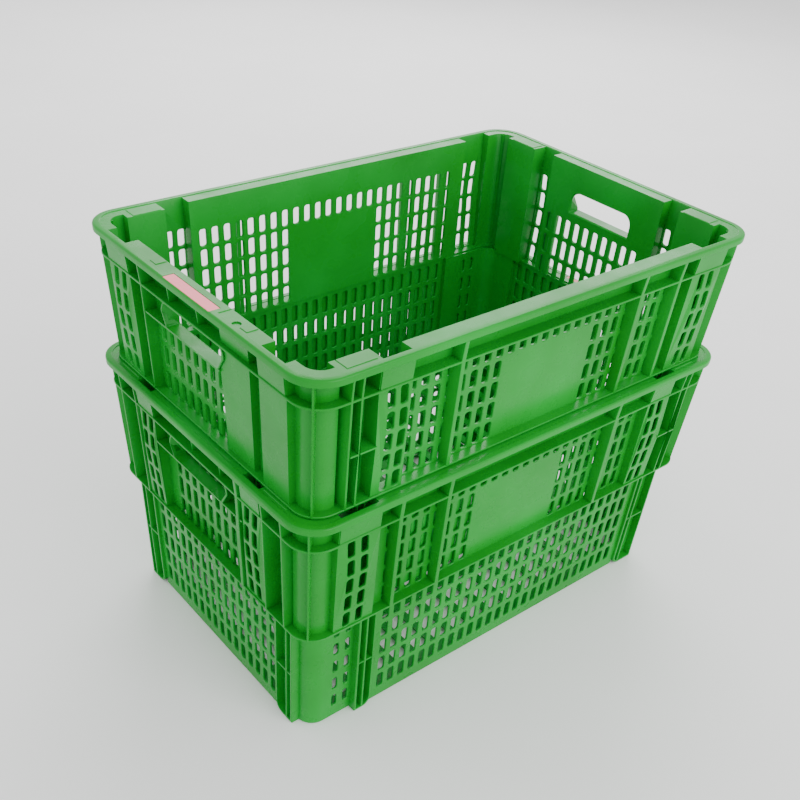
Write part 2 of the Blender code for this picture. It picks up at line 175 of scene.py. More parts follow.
# Slots of the lower band, in five rows.
MESH_SLOT = (8.5, 21.0)
MESH_TOP_Z = LEDGE_Z - 16.5
MESH_ROW_PITCH = 26.5
MESH_ROWS_Z = [MESH_TOP_Z - MESH_ROW_PITCH * row for row in range(ROWS)]
LEG_SLOT = (6.5, 17.0)
LEG_SLOTS = (226.0, 241.0)

HAND_HOLE = (94.0, 26.0)
HAND_HOLE_Z = HEIGHT - 47.0
HAND_HOLE_RADIUS = 12.0
HAND_HOLE_FOOT_RADIUS = 1.0
HAND_HOLE_CHAMFER = 1.0
HOOD_EDGE = 6.0
HOOD_THICK = 2.0
HOOD_FLARE = 8.0
RIM_RIBS = (42.0, -11.0)

# Keys of the legs: inner edge, middle rib and outer edge, along the long side and along the end.
RIGHT_KEYS = ((196.0, 208.0, 219.0), (127.5, 148.0, 158.5))
LEFT_KEYS = ((222.0, 232.0, 258.0), (93.5, 104.0, 117.5))
FOOT_RADIUS = 12.0

FLOOR_SLOT = (21.0, 74.0)
FLOOR_SLOT_PITCH = 31.0
FLOOR_COLUMNS = 17
FLOOR_ROW_PITCH = 82.0
FLOOR_ROWS = 4

# The label, its pocket in the rim and the raised field round it.
LABEL_SIZE = (81.0, 12.0)
LABEL_CENTRE = (-5.5, 8.0)
LABEL_RADIUS = 0.8
LABEL_BELOW_TOP = 0.3
POCKET_DEPTH = 1.4
POCKET_RADIUS = 1.0
POCKET_GAP = 0.3
PLATEAU_MARGIN = 7.0
PLATEAU_EDGE = 3.0

# Pads on the rim.
PAD_SLOPE = 1.0
PAD_BELOW_TOP = 0.05
PAD_EDGE = BEAD + 3.0
LABEL_PAD_EDGE = BEAD + 1.5
LABEL_PADS = ((-96.0, -84.0), (60.0, 72.0))

PEG_HOLE = (-77.0, 11.0)
PEG_HOLE_RADIUS = 4.5

# The extra lean of the upper band's outer elements, and the depths between which it fades.
LEAN = 0.055
LEAN_START = 2.2
LEAN_OUTER = 10.0
LEAN_INNER = 18.0

SMOOTH_DEGREES = 32

# Each colour lies between two shades; the noise runs from one to the other within its middle range.
GREEN = ((0.0, 0.23, 0.013, 1), (0.0, 0.31, 0.026, 1))
PINK = ((0.9, 0.16, 0.22, 1), (1.0, 0.24, 0.3, 1))
PALE_GREY = ((0.9, 0.9, 0.9, 1), (0.93, 0.93, 0.93, 1))
NOISE_RANGE = (0.3, 0.7)


# ---- shapes -------------------------------------------------------------------------------------


def loft(rings):
    """A closed body through rings of points, with a cap at each end."""
    shape = bmesh.new()
    rows = [[shape.verts.new(point) for point in ring] for ring in rings]
    count = len(rows[0])
    for low, high in zip(rows, rows[1:]):
        for index in range(count):
            after = (index + 1) % count
            shape.faces.new((low[index], low[after], high[after], high[index]))
    shape.faces.new(rows[0])
    shape.faces.new(rows[-1])
    bmesh.ops.recalc_face_normals(shape, faces=shape.faces)
    return shape


def stacked(levels):
    """A body through flat outlines; levels are (outline, height)."""
    return loft([[(x, y, z) for x, y in outline] for outline, z in levels])


def prism(outline, low, high):
    return stacked(((outline, low), (outline, high)))


def rectangle(u, v):
    return [(u[0], v[0]), (u[1], v[0]), (u[1], v[1]), (u[0], v[1])]


def box(u, v, z):
    return prism(rectangle(u, v), *z)


def turned(shape, matrix):
    """The shape moved by a matrix, with its faces kept outwards."""
    bmesh.ops.transform(shape, matrix=matrix, verts=shape.verts)
    bmesh.ops.recalc_face_normals(shape, faces=shape.faces)
    return shape


def arc(centre, radius, start, end, steps):
    """Points of an arc between two angles in degrees."""
    angles = [math.radians(start + (end - start) * step / steps) for step in range(steps + 1)]
    return [(centre[0] + radius * math.cos(a), centre[1] + radius * math.sin(a)) for a in angles]


def rounded_rectangle(width, height, radius, steps=3, centre=(0.0, 0.0)):
    """An outline that runs anticlockwise."""
    points = []
    for quarter, (x, y) in enumerate(((1, 1), (-1, 1), (-1, -1), (1, -1))):
        middle = (centre[0] + x * (width / 2 - radius), centre[1] + y * (height / 2 - radius))
        points += arc(middle, radius, 90 * quarter, 90 * quarter + 90, steps)
    return points


def offset(loop, distance):
    """A closed anticlockwise plan loop moved inwards by a distance, with mitred corners."""
    moved = []
    for index, (x, y) in enumerate(loop):
        before = loop[index - 1]
        after = loop[(index + 1) % len(loop)]
        first = (x - before[0], y - before[1])
        second = (after[0] - x, after[1] - y)
        a = (-first[1] / math.hypot(*first), first[0] / math.hypot(*first))
        b = (-second[1] / math.hypot(*second), second[0] / math.hypot(*second))
        share = distance / (1 + a[0] * b[0] + a[1] * b[1])
        moved.append((x + (a[0] + b[0]) * share, y + (a[1] + b[1]) * share))
    return moved


def extruded(loop, profile):
    """A body on a closed loop; the profile is (height, moved inwards by)."""
    return stacked([(offset(loop, moved), z) for z, moved in profile])


def rim_body(profile):
    """A body with the rim's outline; the profile is (height, inset)."""
    levels = []
    for z, inset in profile:
        size = (LENGTH - 2 * inset, WIDTH - 2 * inset)
        levels.append((rounded_rectangle(*size, RIM_RADIUS - inset, steps=10), z))
    return stacked(levels)


def soft_plate(inset, low, high):
    """A plate as wide as the rim less an inset, with softened edges."""
    profile = ((low, SOFT), (low + SOFT, 0.0), (high - SOFT, 0.0), (high, SOFT))
    return rim_body([(z, inset + edge) for z, edge in profile])


def rib(centre, edge, deep, low, high, thick=RIB):
    """An upright rib in wall coordinates, from its softened outer edge to its deep end."""
    half = thick / 2
    outline = [(centre - half, deep)]
    outline += arc((centre - half + SOFT, edge + SOFT), SOFT, 180, 270, steps=2)
    outline += arc((centre + half - SOFT, edge + SOFT), SOFT, 270, 360, steps=2)
    outline += [(centre + half, deep)]
    return prism(outline, low, high)


STAND = Matrix(((1, 0, 0, 0), (0, 0, 1, 0), (0, 1, 0, 0), (0, 0, 0, 1)))


def through(outline, rings):
    """A body whose outline lies along a wall, lofted inwards; rings are (depth, grown by)."""
    loops = [[(u, v, depth) for u, v in offset(outline, -grown)] for depth, grown in rings]
    return turned(loft(loops), STAND)


def slot_cut(centre, z, depth, size=SLOT):
    """A slot with softened mouths on both faces of a sheet."""
    outline = rounded_rectangle(*size, SLOT_RADIUS, centre=(centre, z))
    flare = SOFT + SLOT_FLARE
    outer = depth - CUT
    inner = depth + SHEET + CUT
    rings = ((outer, flare), (depth, SOFT), (depth + SOFT, 0.0), (depth + SHEET - SOFT, 0.0))
    return through(outline, rings + ((depth + SHEET, SOFT), (inner, flare)))


def merged(shapes):
    """Separate shapes as one mesh."""
    whole = bmesh.new()
    for shape in shapes:
        part = bpy.data.meshes.new("part")
        shape.to_mesh(part)
        shape.free()
        whole.from_mesh(part)
        bpy.data.meshes.remove(part)
    return whole


def helper(name, shape):
    mesh = bpy.data.meshes.new(name)
    shape.to_mesh(mesh)
    shape.free()
    made = bpy.data.objects.new(name, mesh)
    bpy.context.scene.collection.objects.link(made)
    return made


def carved(name, first, steps):
    """A mesh made from a first shape by unions and differences, taken in turn."""
    sliver = 0.001
    body = helper(name, first)
    helpers = [body]
    for operation, shapes in steps:
        other = helper(name + "_tool", merged(shapes))
        helpers.append(other)
        modifier = body.modifiers.new(operation.title(), "BOOLEAN")
        modifier.operation = operation
        modifier.solver = "MANIFOLD"
        modifier.object = other
    graph = bpy.context.evaluated_depsgraph_get()
    made = bpy.data.meshes.new_from_object(body.evaluated_get(graph))
    made.name = name
    faces = bmesh.new()
    faces.from_mesh(made)
    bmesh.ops.dissolve_degenerate(faces, dist=sliver, edges=faces.edges)
    bmesh.ops.triangulate(faces, faces=faces.faces, ngon_method="EAR_CLIP")
    faces.to_mesh(made)
    faces.free()
    for old in helpers:
        bpy.data.objects.remove(old)
    return made


def side_matrices():
    """What moves shapes from wall coordinates to each side of a crate."""
    swap = Matrix(((0, 1, 0, 0), (1, 0, 0, 0), (0, 0, 1, 0), (0, 0, 0, 1)))
    front = Matrix.Translation((0, -WIDTH / 2, 0))
    back = Matrix.Diagonal((1, -1, 1, 1)) @ front
    label = Matrix.Translation((-LENGTH / 2, 0, 0)) @ swap
    plain = Matrix.Diagonal((-1, 1, 1, 1)) @ label
    return {"front": front, "back": back, "label": label, "plain": plain}


SIDES = side_matrices()


def on(side, shapes):
    return [turned(shape, SIDES[side]) for shape in shapes]


def on_each(sides, draw):
    """The same shapes, drawn anew for each of the sides."""
    found = []
    for side in sides:
        found += on(side, draw())
    return found


# ---- plan loops ---------------------------------------------------------------------------------


def stepped(steps, end, corner_depth):
    """Points (along, depth) of one wall that changes depth at each step."""
    path = [(-end, corner_depth)]
    for at, depth in steps:
        path += [(at, path[-1][1]), (at, depth)]
    return path + [(end, corner_depth)]


def wall_loop(long_steps, label_steps, plain_steps, corner_depth, radius):
    """The closed plan loop of the walls' outer faces, anticlockwise from the front."""
    same_point = 0.01
    end_u = LENGTH / 2 - corner_depth - radius
    end_v = WIDTH / 2 - corner_depth - radius
    long_wall = stepped(long_steps, end_u, corner_depth)
    label_wall = stepped(label_steps, end_v, corner_depth)
    plain_wall = stepped(plain_steps, end_v, corner_depth)
    front = [(u, v - WIDTH / 2) for u, v in long_wall]
    plain = [(LENGTH / 2 - v, u) for u, v in plain_wall]
    back = [(u, WIDTH / 2 - v) for u, v in reversed(long_wall)]
    label = [(v - LENGTH / 2, u) for u, v in reversed(label_wall)]
    loop = []
    for wall, centre, start in (
        (front, (end_u, -end_v), -90),
        (plain, (end_u, end_v), 0),
        (back, (-end_u, end_v), 90),
        (label, (-end_u, -end_v), 180),
    ):
        loop += wall + arc(centre, radius, start, start + 90, steps=8)[1:-1]
    return [point for index, point in enumerate(loop) if math.dist(point, loop[index - 1]) > same_point]


def upper_loop():
    return wall_loop(
        (
            (-CORNER_U, BLOCK),
            (BLOCK_END, WINDOW),
            (LEFT_WINDOW_END, PANEL),
            (RIGHT_WINDOW_START, WINDOW),
            (CORNER_U, CORNER_POST),
        ),
        (
            (-CORNER_V, WINDOW),
            (LABEL_FLAT_END, PANEL),
            (LABEL_WINDOW_START, WINDOW),
            (CORNER_V, CORNER_POST),
        ),
        (
            (-CORNER_V, BLOCK),
            (-SEAT_V, WINDOW),
            (-PLAIN_HANDLE_V, PANEL),
            (PLAIN_HANDLE_V, WINDOW),
            (SEAT_V, BLOCK),
            (CORNER_V, CORNER_POST),
        ),
        CORNER_POST,
        RIM_RADIUS - CORNER_POST,
    )


def shelf_loop():
    """The edge of the ledge inside the crate: it closes the windows from below."""
    shelf = PANEL + SHEET + LIP
    block_shelf = BLOCK + SHEET + LIP
    return wall_loop(
        ((-CORNER_U, block_shelf), (BLOCK_END + SHEET, shelf)),
        (),
        (
            (-CORNER_V, block_shelf),
            (SHEET - SEAT_V, shelf),
            (SEAT_V - SHEET, block_shelf),
            (CORNER_V, shelf),
        ),
        shelf,
        RIM_RADIUS - shelf,
    )


def lower_loop():
    return wall_loop(
        ((-LEFT_KEYS[0][0], MESH), (RIGHT_KEYS[0][0], LEG)),
        ((-LEFT_KEYS[1][0], MESH), (LEFT_KEYS[1][0], LEG)),
        ((-RIGHT_KEYS[1][0], MESH), (RIGHT_KEYS[1][0], LEG)),
        LEG,
        LEG_RADIUS,
    )


# ---- rim ----------------------------------------------------------------------------------------


def rim():
    """The rim's plate with its rounded outer face, still solid underneath."""
    low = HEIGHT - RIM_FACE
    profile = [(low, RIM_CHAMFER), (low + RIM_CHAMFER, 0.0)]
    return rim_body(profile + [(HEIGHT - down, inset) for down, inset in RIM_ROUND])


def rim_hollow():
    return rim_body(((HEIGHT - RIM_FACE - CUT, RIM_SKIRT), (HEIGHT - RIM_THICK, RIM_SKIRT)))


def sunk_top():
    """The rim's top inside its bead lies a little lower."""
    return rim_body(((HEIGHT - SINK, BEAD + SINK), (HEIGHT + CUT, BEAD - CUT)))


def pad(u, v):
    """A raised pad on the rim, with sloping sides."""
    high = HEIGHT - PAD_BELOW_TOP
    outline = rectangle(u, v)
    top = rectangle((u[0] + PAD_SLOPE, u[1] - PAD_SLOPE), (v[0] + PAD_SLOPE, v[1] - PAD_SLOPE))
    return stacked(((outline, RIB_TOP_Z), (outline, high - PAD_SLOPE), (top, high)))


def block_pads():
    return [pad((SHEET - CORNER_U, BLOCK_END), (PAD_EDGE, BLOCK + SHEET + LIP))]


def seat_pads():
    spans = ((SHEET - CORNER_V, -SEAT_V), (SEAT_V, CORNER_V - SHEET))
    return [pad(span, (PAD_EDGE, BLOCK + SHEET + LIP)) for span in spans]


def label_pads():
    return [pad(span, (LABEL_PAD_EDGE, PANEL + SHEET)) for span in LABEL_PADS]


def rim_pads():
    return on_each(LONG_SIDES, block_pads) + on("plain", seat_pads()) + on("label", label_pads())


def label_plateau():
    """The raised field round the label."""
    first = LABEL_CENTRE[0] - LABEL_SIZE[0] / 2 - PLATEAU_MARGIN
    last = LABEL_CENTRE[0] + LABEL_SIZE[0] / 2 + PLATEAU_MARGIN
    return on("label", [pad((first, last), (PLATEAU_EDGE, PANEL + SHEET + LIP))])


def label_pocket():
    size = (LABEL_SIZE[0] + 2 * POCKET_GAP, LABEL_SIZE[1] + 2 * POCKET_GAP)
    outline = rounded_rectangle(*size, POCKET_RADIUS, centre=LABEL_CENTRE)
    return on("label", [prism(outline, HEIGHT - POCKET_DEPTH, HEIGHT + CUT)])


def peg_hole():
    sides = 24
    outline = arc(PEG_HOLE, PEG_HOLE_RADIUS, 0, 360 - 360 / sides, steps=sides - 1)
    return on("label", [prism(outline, HEIGHT - RIM_THICK - CUT, HEIGHT + CUT)])


# ---- upper band ---------------------------------------------------------------------------------


def window_slots(centres):
    return [slot_cut(at, TOP_ROW_Z - ROW_PITCH * row, WINDOW) for at in centres for row in range(ROWS)]


def long_slots():
    """Slots of a long wall; its blank field has none but the top row above it."""
    cuts = []
    for column in range(PANEL_COLUMNS):
        centre = FIRST_SLOT_U + SLOT_PITCH * column
        rows = 1 if column in BLANK_COLUMNS else ROWS
        cuts += [slot_cut(centre, TOP_ROW_Z - ROW_PITCH * row, PANEL) for row in range(rows)]
    return cuts + window_slots(WINDOW_SLOTS)


def handle_slots(columns):
    heights = [TALL_TOP_Z - TALL_ROW_PITCH * row for row in range(TALL_ROWS)]
    return [slot_cut(SLOT_PITCH * column, z, PANEL, TALL_SLOT) for column in columns for z in heights]


def end_slots():
    label_cuts = handle_slots(LABEL_COLUMNS) + window_slots(LABEL_WINDOW_SLOTS)
    plain_cuts = handle_slots(PLAIN_COLUMNS) + window_slots(PLAIN_WINDOW_SLOTS)
    return on("label", label_cuts) + on("plain", plain_cuts)


def full_rib(centre, deep, thick=RIB):
    """A rib from the ledge to the rim."""
    return rib(centre, RIB_EDGE, deep + JOIN, LEDGE_Z + JOIN, RIB_TOP_Z, thick)


def panel_ribs():
    """The wide ribs that cross the ribbed columns of a long wall."""
    return [full_rib(FIRST_SLOT_U + SLOT_PITCH * column, PANEL, WIDE_RIB) for column in RIBBED_COLUMNS]


def block_ribs():
    return [full_rib(at, BLOCK) for at in BLOCK_RIBS]


def rim_ribs():
    """Small ribs between the band rib and the rim, over the hood."""
    return [rib(at, BEAD, PANEL + JOIN, BAND_Z - JOIN, RIB_TOP_Z, SMALL_RIB) for at in RIM_RIBS]


def wall_ribs():
    """The upright ribs of all four walls."""
    plain_ribs = [full_rib(at, BLOCK) for at in SEAT_RIBS]
    plain_ribs += [full_rib(SLOT_PITCH * BLIND_COLUMN, PANEL, WIDE_RIB)]
    found = on_each(LONG_SIDES, panel_ribs) + on_each(LONG_SIDES, block_ribs) + on("plain", plain_ribs)
    return found + on("label", [full_rib(LABEL_RIB, PANEL)]) + on_each(ENDS, rim_ribs)


def level_rib():
    """The short level rib beside the upright ribs of the block."""
    z = (LEDGE_Z + BAND_Z) / 2
    span = (BLOCK_RIBS[0], BLOCK_END + JOIN)
    return [box(span, (LEVEL_EDGE, BLOCK + JOIN), (z, z + SMALL_RIB))]


def corner_ribs():
    """One rib on the diagonal of each corner."""
    found = []
    reach = RIM_RADIUS - RIB_EDGE
    for x in (-1, 1):
        for y in (-1, 1):
            centre = (x * (LENGTH / 2 - RIM_RADIUS), y * (WIDTH / 2 - RIM_RADIUS), 0)
            turn = Matrix.Translation(centre) @ Matrix.Rotation(math.atan2(y, x) - math.pi / 2, 4, "Z")
            flip = Matrix.Diagonal((1, -1, 1, 1)) @ Matrix.Translation((0, -reach, 0))
            shape = rib(0.0, 0.0, reach - CORNER_POST, LEDGE_Z + JOIN, RIB_TOP_Z)
            found.append(turned(shape, turn @ flip))
    return found


def window_tabs():
    """Flush plates over the windows, between the band rib and the rim."""
    side_gap = 1.0
    v = (LEVEL_EDGE, WINDOW + JOIN)
    z = (BAND_Z - JOIN, RIB_TOP_Z)
    found = []
    for side, spans in WINDOWS.items():
        found += on(side, [box((first + side_gap, last - side_gap), v, z) for first, last in spans])
    return found


def hand_hole_outline(margin, flare):
    """Round above and nearly square below, on the level of the sill."""
    width, height = HAND_HOLE
    half = width / 2 + margin + flare
    top = HAND_HOLE_Z + height / 2 + margin
    bottom = HAND_HOLE_Z - height / 2 - margin
    radius = HAND_HOLE_RADIUS + margin
    small = HAND_HOLE_FOOT_RADIUS + margin
    points = arc((half - radius, top - radius), radius, 0, 90, steps=6)
    points += arc((radius - half, top - radius), radius, 90, 180, steps=6)
    points += arc((small + flare - half, bottom + small), small, 180, 270, steps=3)
    points += arc((half - small - flare, bottom + small), small, 270, 360, steps=3)
    return points


def funnel(margin, rings):
    """A tube round the hand hole that widens outwards; rings are (depth, flare's share, grown by)."""
    loops = []
    for depth, share, grown in rings:
        outline = offset(hand_hole_outline(margin, HOOD_FLARE * share), -grown)
        loops.append([(u, v, depth) for u, v in outline])
    return turned(loft(loops), STAND)


def hood():
    """The hood that stands out over the hand hole."""
    rings = ((HOOD_EDGE, 1.0, -SOFT), (HOOD_EDGE + SOFT, 1.0, 0.0), (PANEL + JOIN, 0.0, 0.0))
    return [funnel(HOOD_THICK, rings)]


def hood_hole():
    """The opening through the hood and the panel, with a chamfer on the inside of the crate."""
    inner = PANEL + SHEET
    chamfer_deep = 1.5
    flare_before_hood = 1.1
    rings = (
        (HOOD_EDGE - CUT, flare_before_hood, 0.0),
        (inner - chamfer_deep, 0.0, 0.0),
        (inner, 0.0, HAND_HOLE_CHAMFER),
        (inner + CUT, 0.0, 2 * HAND_HOLE_CHAMFER),
    )
    return [funnel(0.0, rings)]


def sill(first, last):
    """The plate that carries the hood and runs across the whole recess."""
    top = HAND_HOLE_Z - HAND_HOLE[1] / 2
    return box((first, last), (HOOD_EDGE, PANEL + JOIN), (top - HOOD_THICK, top - CLEAR))


def sills():
    plain_reach = PLAIN_HANDLE_V + JOIN
    return on("label", [sill(*LABEL_HANDLE)]) + on("plain", [sill(-plain_reach, plain_reach)])


def pillar():
    """The post beside the handle of the label end, and its hollow."""
    low, high = PILLAR_V
    post = box((low, high), (PILLAR, PANEL + JOIN), (LEDGE_Z + JOIN, RIB_TOP_Z))
    hollow_z = (LEDGE_Z - CUT, HEIGHT - RIM_THICK)
    hollow = box((low + RIB, high - RIB), (PILLAR + RIB, PANEL - CLEAR), hollow_z)
    return post, hollow


def upper_band():
    walls = upper_loop()
    opening = [(LEDGE_Z + PLATE, SHEET + LIP)]
    opening += [(HEIGHT - down, SHEET + LIP + moved) for down, moved in OPENING_ROUND]
    through_ledge = ((LEDGE_Z - CUT, 0.0), (LEDGE_Z + PLATE + CLEAR, 0.0))
    post, hollow = pillar()
    steps = [
        ("DIFFERENCE", [rim_hollow()]),
        ("DIFFERENCE", [sunk_top()]),
        ("UNION", rim_pads()),
        ("UNION", label_plateau()),
        ("DIFFERENCE", label_pocket() + peg_hole()),
        ("UNION", [extruded(walls, ((LEDGE_Z + JOIN, 0.0), (RIB_TOP_Z, 0.0)))]),
        ("UNION", [soft_plate(RIB_EDGE, BAND_Z - PLATE, BAND_Z)]),
        ("UNION", [soft_plate(RIB_EDGE, LEDGE_Z, LEDGE_Z + PLATE)]),
        ("DIFFERENCE", [extruded(walls, opening)]),
        ("DIFFERENCE", [extruded(shelf_loop(), through_ledge)]),
        ("DIFFERENCE", on_each(LONG_SIDES, long_slots)),
        ("DIFFERENCE", end_slots()),
        ("UNION", window_tabs()),
        ("UNION", wall_ribs()),
        ("UNION", on_each(LONG_SIDES, level_rib)),
        ("UNION", corner_ribs()),
        ("UNION", sills()),
        ("UNION", on_each(ENDS, hood)),
        ("DIFFERENCE", on_each(ENDS, hood_hole)),
        ("UNION", on("label", [post])),
        ("DIFFERENCE", on("label", [hollow])),
    ]
    return carved("upper_band", rim(), steps)


# ---- lower band ---------------------------------------------------------------------------------


def evenly(first, last):
    """Slot centres at the slot pitch that fill a wall from one end to the other."""
    count = int((last - first - SLOT_PITCH) / SLOT_PITCH) + 1
    start = (first + last - SLOT_PITCH * (count - 1)) / 2
    return [start + SLOT_PITCH * column for column in range(count)]


def mesh_slots(first, last):
    return [slot_cut(at, z, MESH, MESH_SLOT) for at in evenly(first, last) for z in MESH_ROWS_Z]


def long_mesh_slots():
    return mesh_slots(-LEFT_KEYS[0][0], RIGHT_KEYS[0][0])


def leg_slots():
    return [slot_cut(at, z, LEG, LEG_SLOT) for at in LEG_SLOTS for z in MESH_ROWS_Z]


def key(edges):
    """Three ribs that stand out from a leg, closed by a foot that is rounded towards the mesh wall."""
    near, middle, far = edges
    toward = 1 if far > near else -1
    top = LEDGE_Z + JOIN
    deep = LEG + JOIN
    centre = (near + toward * FOOT_RADIUS, FOOT_RADIUS)
    bend = arc(centre, FOOT_RADIUS, 270, 270 - toward * 90, steps=6)
    profile = [(far, top), (far, 0.0)] + bend + [(near, top)]
    outline = profile if toward < 0 else profile[::-1]
    tube = through(outline, ((KEY, -SOFT), (KEY + SOFT, 0.0), (deep, 0.0)))
    hollow = through(offset(outline, RIB), ((KEY - CUT, 0.0), (LEG, 0.0)))
    middle_rib = rib(middle, KEY, deep, JOIN, top)
    half_way = LEDGE_Z / 2
    cross = box(sorted((near, far)), (KEY + SOFT, deep), (half_way, half_way + SMALL_RIB))
    return tube, hollow, middle_rib, cross


def all_keys():
    """The tubes, hollows, middle ribs and level ribs of the eight keys, one list for each kind."""
    kinds = ([], [], [], [])
    for (long_edges, end_edges), toward, end in ((RIGHT_KEYS, 1, "plain"), (LEFT_KEYS, -1, "label")):
        places = [(side, toward, long_edges) for side in LONG_SIDES]
        places += [(end, sign, end_edges) for sign in (1, -1)]
        for side, sign, edges in places:
            for kind, shape in zip(kinds, key([sign * edge for edge in edges])):
                kind += on(side, [shape])
    return kinds


def lower_band():
    walls = lower_loop()
    top = LEDGE_Z + JOIN
    label_reach = LEFT_KEYS[1][0]
    plain_reach = RIGHT_KEYS[1][0]
    tubes, hollows, middle_ribs, level_ribs = all_keys()
    steps = [
        ("UNION", tubes),
        ("DIFFERENCE", hollows),
        ("UNION", middle_ribs),
        ("UNION", level_ribs),
        ("DIFFERENCE", [extruded(walls, ((-CUT, SHEET), (top + CUT, SHEET)))]),
        ("DIFFERENCE", on_each(LONG_SIDES, long_mesh_slots)),
        ("DIFFERENCE", on("label", mesh_slots(-label_reach, label_reach))),
        ("DIFFERENCE", on("plain", mesh_slots(-plain_reach, plain_reach))),
        ("DIFFERENCE", on_each(LONG_SIDES, leg_slots)),
    ]
    solid = extruded(walls, ((0.0, FOOT_CHAMFER), (FOOT_CHAMFER, 0.0), (top, 0.0)))
    return carved("lower_band", solid, steps)


# ---- floor and label ----------------------------------------------------------------------------


def floor():
    """The grid that closes the crate below."""
    outline = offset(lower_loop(), SHEET / 2)
    cuts = []
    for column in range(FLOOR_COLUMNS):
        x = FLOOR_SLOT_PITCH * (column - (FLOOR_COLUMNS - 1) / 2)
        for row in range(FLOOR_ROWS):
            y = FLOOR_ROW_PITCH * (row - (FLOOR_ROWS - 1) / 2)
            hole = rounded_rectangle(*FLOOR_SLOT, SLOT_RADIUS, centre=(x, y))
            cuts.append(prism(hole, FLOOR_Z - CUT, FLOOR_Z + SHEET + CUT))
    return carved("floor", prism(outline, FLOOR_Z, FLOOR_Z + SHEET), [("DIFFERENCE", cuts)])


def label_plate():
    chamfer = 0.2
    low = HEIGHT - POCKET_DEPTH
    high = HEIGHT - LABEL_BELOW_TOP
    outline = rounded_rectangle(*LABEL_SIZE, LABEL_RADIUS, centre=LABEL_CENTRE)
    plate = extruded(outline, ((low, 0.0), (high - chamfer, 0.0), (high, chamfer)))
    return carved("label_plate", turned(plate, SIDES["label"]), [])


# ---- finishing the meshes -----------------------------------------------------------------------


def limited(value):
    return min(1.0, max(0.0, value))


def leant(mesh):
    """Below the rim, the outer ribs and windows of the upper band lean in more than the panels."""
    under_rim = HEIGHT - RIM_FACE
    for vertex in mesh.vertices:
        x, y, z = vertex.co
        over_x = abs(x) - (LENGTH / 2 - RIM_RADIUS)
        over_y = abs(y) - (WIDTH / 2 - RIM_RADIUS)
        at_corner = min(over_x, over_y) > 0
        reach = math.hypot(over_x, over_y) if at_corner else max(over_x, over_y)
        depth = RIM_RADIUS - reach
        share = limited((LEAN_INNER - depth) / (LEAN_INNER - LEAN_OUTER))
        full = limited((under_rim - z) / (under_rim - BAND_Z))
        move = share * full * (LEAN * (BAND_Z - z) - LEAN_START)
        if at_corner:
            vertex.co.x -= math.copysign(move * over_x / reach, x)
            vertex.co.y -= math.copysign(move * over_y / reach, y)
        elif over_x > over_y:
            vertex.co.x -= math.copysign(move, x)
        else:
            vertex.co.y -= math.copysign(move, y)
    return mesh


def drafted(mesh):
    """Leans the walls inwards, scales to metres and smooths the round stretches."""
    for vertex in mesh.vertices:
        inset = DRAFT * (HEIGHT - vertex.co.z)
        vertex.co.x *= (1 - 2 * inset / LENGTH) * MM
        vertex.co.y *= (1 - 2 * inset / WIDTH) * MM
        vertex.co.z *= MM
    mesh.update()
    mesh.shade_smooth()
    mesh.set_sharp_from_angle(angle=math.radians(SMOOTH_DEGREES))
    return mesh


# ---- materials ----------------------------------------------------------------------------------


def new_material(name):
    made = bpy.data.materials.new(name)
    made.use_nodes = True
    tree = made.node_tree
    return made, tree.nodes, tree.links, tree.nodes["Principled BSDF"]


def noise(nodes, links, coordinates, scale, detail=3.0):
    found = nodes.new("ShaderNodeTexNoise")
    found.inputs["Scale"].default_value = scale
    found.inputs["Detail"].default_value = detail
    links.new(coordinates, found.inputs["Vector"])
    return found.outputs["Fac"]


def ramp(nodes, links, value, shades):
    """A colour that runs from the first shade to the second."""
    found = nodes.new("ShaderNodeValToRGB")
    for element, position, shade in zip(found.color_ramp.elements, NOISE_RANGE, shades):
        element.position = position
        element.color = shade
    links.new(value, found.inputs["Fac"])
    return found.outputs["Color"]


def to_range(nodes, links, value, low, high):
    found = nodes.new("ShaderNodeMapRange")
    found.inputs["From Min"].default_value = NOISE_RANGE[0]
    found.inputs["From Max"].default_value = NOISE_RANGE[1]
    found.inputs["To Min"].default_value = low
    found.inputs["To Max"].default_value = high
    links.new(value, found.inputs["Value"])
    return found.outputs["Result"]


def bump(nodes, links, height, distance, strength, normal=None):
    found = nodes.new("ShaderNodeBump")
    found.inputs["Distance"].default_value = distance
    found.inputs["Strength"].default_value = strength
    links.new(height, found.inputs["Height"])
    if normal:
        links.new(normal, found.inputs["Normal"])
    return found.outputs["Normal"]


def green_plastic():
    """Moulded polyolefin: flow clouds, a fine satin grain and light scuffs."""
    made, nodes, links, shader = new_material("crate_green")
    place = nodes.new("ShaderNodeTexCoord").outputs["Object"]
    clouds = noise(nodes, links, place, scale=9.0, detail=2.0)
    links.new(ramp(nodes, links, clouds, GREEN), shader.inputs["Base Color"])
    smears = noise(nodes, links, place, scale=45.0, detail=4.0)
    links.new(to_range(nodes, links, smears, low=0.22, high=0.36), shader.inputs["Roughness"])
    fine = noise(nodes, links, place, scale=2200.0, detail=1.0)
    grain = bump(nodes, links, fine, distance=0.0001, strength=0.1)
    coarse = noise(nodes, links, place, scale=30.0, detail=1.0)
    waves = bump(nodes, links, coarse, distance=0.002, strength=0.12, normal=grain)
    links.new(waves, shader.inputs["Normal"])
    shader.inputs["Specular IOR Level"].default_value = 0.2
    return made


def pink_label():
    """Plain card, slightly faded in patches."""
    made, nodes, links, shader = new_material("label_pink")
    place = nodes.new("ShaderNodeTexCoord").outputs["Generated"]
    fading = noise(nodes, links, place, scale=5.0)
    links.new(ramp(nodes, links, fading, PINK), shader.inputs["Base Color"])
    links.new(to_range(nodes, links, fading, low=0.4, high=0.55), shader.inputs["Roughness"])
    fibres = noise(nodes, links, place, scale=60.0)
    links.new(bump(nodes, links, fibres, distance=0.0001, strength=0.3), shader.inputs["Normal"])
    return made


# ---- assembly -----------------------------------------------------------------------------------


def cad_names(crate, ends):
    return [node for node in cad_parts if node.startswith(crate) and node.endswith(ends)]


